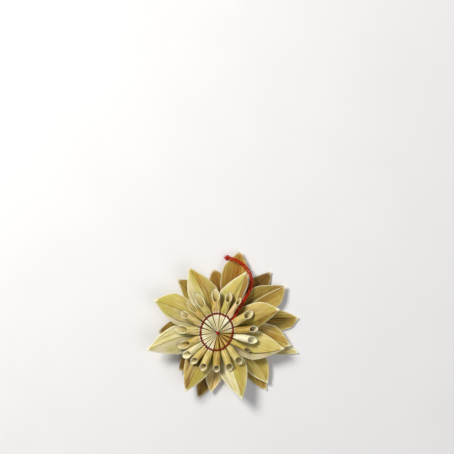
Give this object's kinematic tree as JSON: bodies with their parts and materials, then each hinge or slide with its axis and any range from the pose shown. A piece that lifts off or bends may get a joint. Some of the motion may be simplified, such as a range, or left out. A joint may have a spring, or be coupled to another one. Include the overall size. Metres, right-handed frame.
{
  "type": "straw ornament",
  "caption": "Straw flower ornament: crossed straws with slanted open ends, ringed by red thread over layered folded straw petals, with a knotted red thread hanger.",
  "frame": {"origin": "under the middle of the ornament's box, on the surface that it lies on, measured without the hanging thread", "axes": "+Z out of the face with the open straw ends, +Y towards the side where the hanging thread lies"},
  "size_m": [0.0736, 0.0718, 0.0133],
  "materials": {
    "straw_skin": "satin",
    "straw_petal": "satin",
    "straw_inside": "matte",
    "dark_thread": "matte",
    "red_thread": "matte"
  },
  "bodies": {
    "root": {"straw_1": "straw_skin", "straw_2": "straw_skin", "straw_3": "straw_skin", "straw_4": "straw_skin", "straw_5": "straw_skin", "straw_6": "straw_skin", "straw_7": "straw_skin", "straw_8": "straw_skin", "straw_9": "straw_skin", "front_petal_1": "straw_petal", "front_petal_2": "straw_petal", "front_petal_3": "straw_petal", "front_petal_4": "straw_petal", "front_petal_5": "straw_petal", "front_petal_6": "straw_petal", "front_petal_7": "straw_petal", "front_petal_8": "straw_petal", "back_petal_1": "straw_inside", "back_petal_2": "straw_inside", "back_petal_3": "straw_inside", "back_petal_4": "straw_inside", "back_petal_5": "straw_inside", "back_petal_6": "straw_inside", "back_petal_7": "straw_inside", "back_petal_8": "straw_inside", "low_petal_1": "straw_inside", "low_petal_2": "straw_inside", "low_petal_3": "straw_inside", "low_petal_4": "straw_inside", "low_petal_5": "straw_inside", "low_petal_6": "straw_inside", "low_petal_7": "straw_inside", "low_petal_8": "straw_inside", "ring_thread": "dark_thread", "centre_tie": "red_thread", "back_knot": "dark_thread", "hanger_strand_a": "red_thread", "hanger_strand_b": "red_thread", "hanger_knot": "red_thread"}
  },
  "joints": []
}
